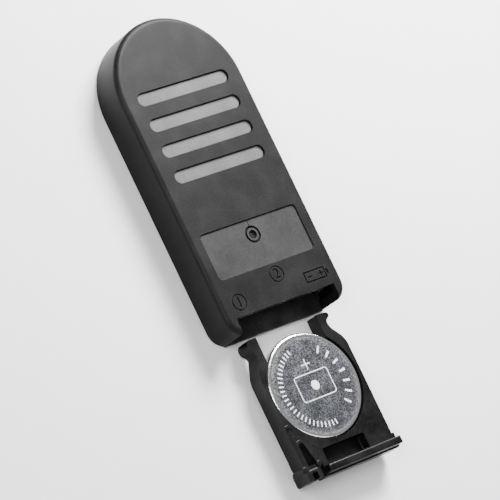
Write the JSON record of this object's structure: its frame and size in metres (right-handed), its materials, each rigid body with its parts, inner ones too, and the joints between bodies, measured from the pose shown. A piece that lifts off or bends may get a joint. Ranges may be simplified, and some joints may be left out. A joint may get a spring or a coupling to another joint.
{
  "type": "infrared remote trigger",
  "caption": "Pocket infrared wireless trigger with a sprung button and a pull-out coin-cell tray held by a squeeze latch.",
  "frame": {"origin": "middle of the casing's front (button) face, which the part lies on", "axes": "+Y along the casing to its round infrared nose, +Z out of the back face, +X to the right seen from above; the tray is drawn out towards -Y"},
  "size_m": [0.028, 0.0884, 0.0072],
  "materials": {
    "case_plastic": "fine spark-eroded matte black moulding",
    "front_plastic": "matte black moulding",
    "tray_plastic": "satin black moulding",
    "latch_plastic": "satin black moulding",
    "button_plastic": "dark grey moulding",
    "window_plastic": "polished dark infrared filter",
    "board_laminate": "green solder mask",
    "lamp_resin": "tinted clear resin",
    "tinned_wire": "tinned",
    "spring_steel": "bright nickel on spring steel",
    "chip_epoxy": "moulded epoxy",
    "resonator_resin": "dipped resin",
    "tantalum_case": "moulded case",
    "resistor_glaze": "glazed",
    "capacitor_ceramic": "ceramic",
    "switch_plastic": "black moulding",
    "plunger_plastic": "light grey moulding",
    "can_steel": "drawn steel with fine scratches and a bright rim",
    "cap_steel": "drawn steel",
    "gasket_nylon": "natural nylon",
    "lithium_metal": "soft bare metal",
    "separator_felt": "thin felt",
    "cathode_mix": "pressed powder"
  },
  "bodies": {
    "casing": {"rear_cover": "case_plastic", "front_cover": "front_plastic", "ir_window": "window_plastic", "circuit_board": "board_laminate", "ir_led": "lamp_resin", "led_lead_left": "tinned_wire", "led_lead_right": "tinned_wire", "encoder_chip": "chip_epoxy", "driver_transistor": "chip_epoxy", "ceramic_resonator": "resonator_resin", "bulk_capacitor": "tantalum_case", "small_capacitor": "capacitor_ceramic", "resistor_1": "resistor_glaze", "resistor_2": "resistor_glaze", "resistor_3": "resistor_glaze", "positive_contact": "spring_steel", "negative_contact": "spring_steel", "switch_base": "switch_plastic"},
    "plunger": {"switch_plunger": "plunger_plastic"},
    "button": {"trigger_button": "button_plastic"},
    "tray": {"tray_frame": "tray_plastic", "cell_can": "can_steel", "cell_cap": "cap_steel", "cell_gasket": "gasket_nylon", "lithium_disc": "lithium_metal", "separator": "separator_felt", "cathode_pellet": "cathode_mix"},
    "latch": {"latch_lever": "latch_plastic"}
  },
  "joints": [
    {"name": "tray_slide", "type": "slide", "parent": "casing", "child": "tray", "axis": [0, 1, 0], "range_m": [0, 0.0284]},
    {"name": "latch_flex", "type": "hinge", "parent": "tray", "child": "latch", "pos_m": [-0.0102, -0.0491, 0.0029], "axis": [0, 0, 1], "range_deg": [0, 5], "stiffness_Nm_per_rad": 0.05},
    {"name": "button_press", "type": "slide", "parent": "casing", "child": "button", "axis": [0, 0, 1], "range_m": [0, 0.00025], "stiffness_N_per_m": 2000},
    {"name": "plunger_press", "type": "slide", "parent": "casing", "child": "plunger", "axis": [0, 0, 1], "range_m": [0, 0.00025]}
  ],
  "couplings": [
    {"joint": "plunger_press", "follows": "button_press", "ratio": 1}
  ]
}
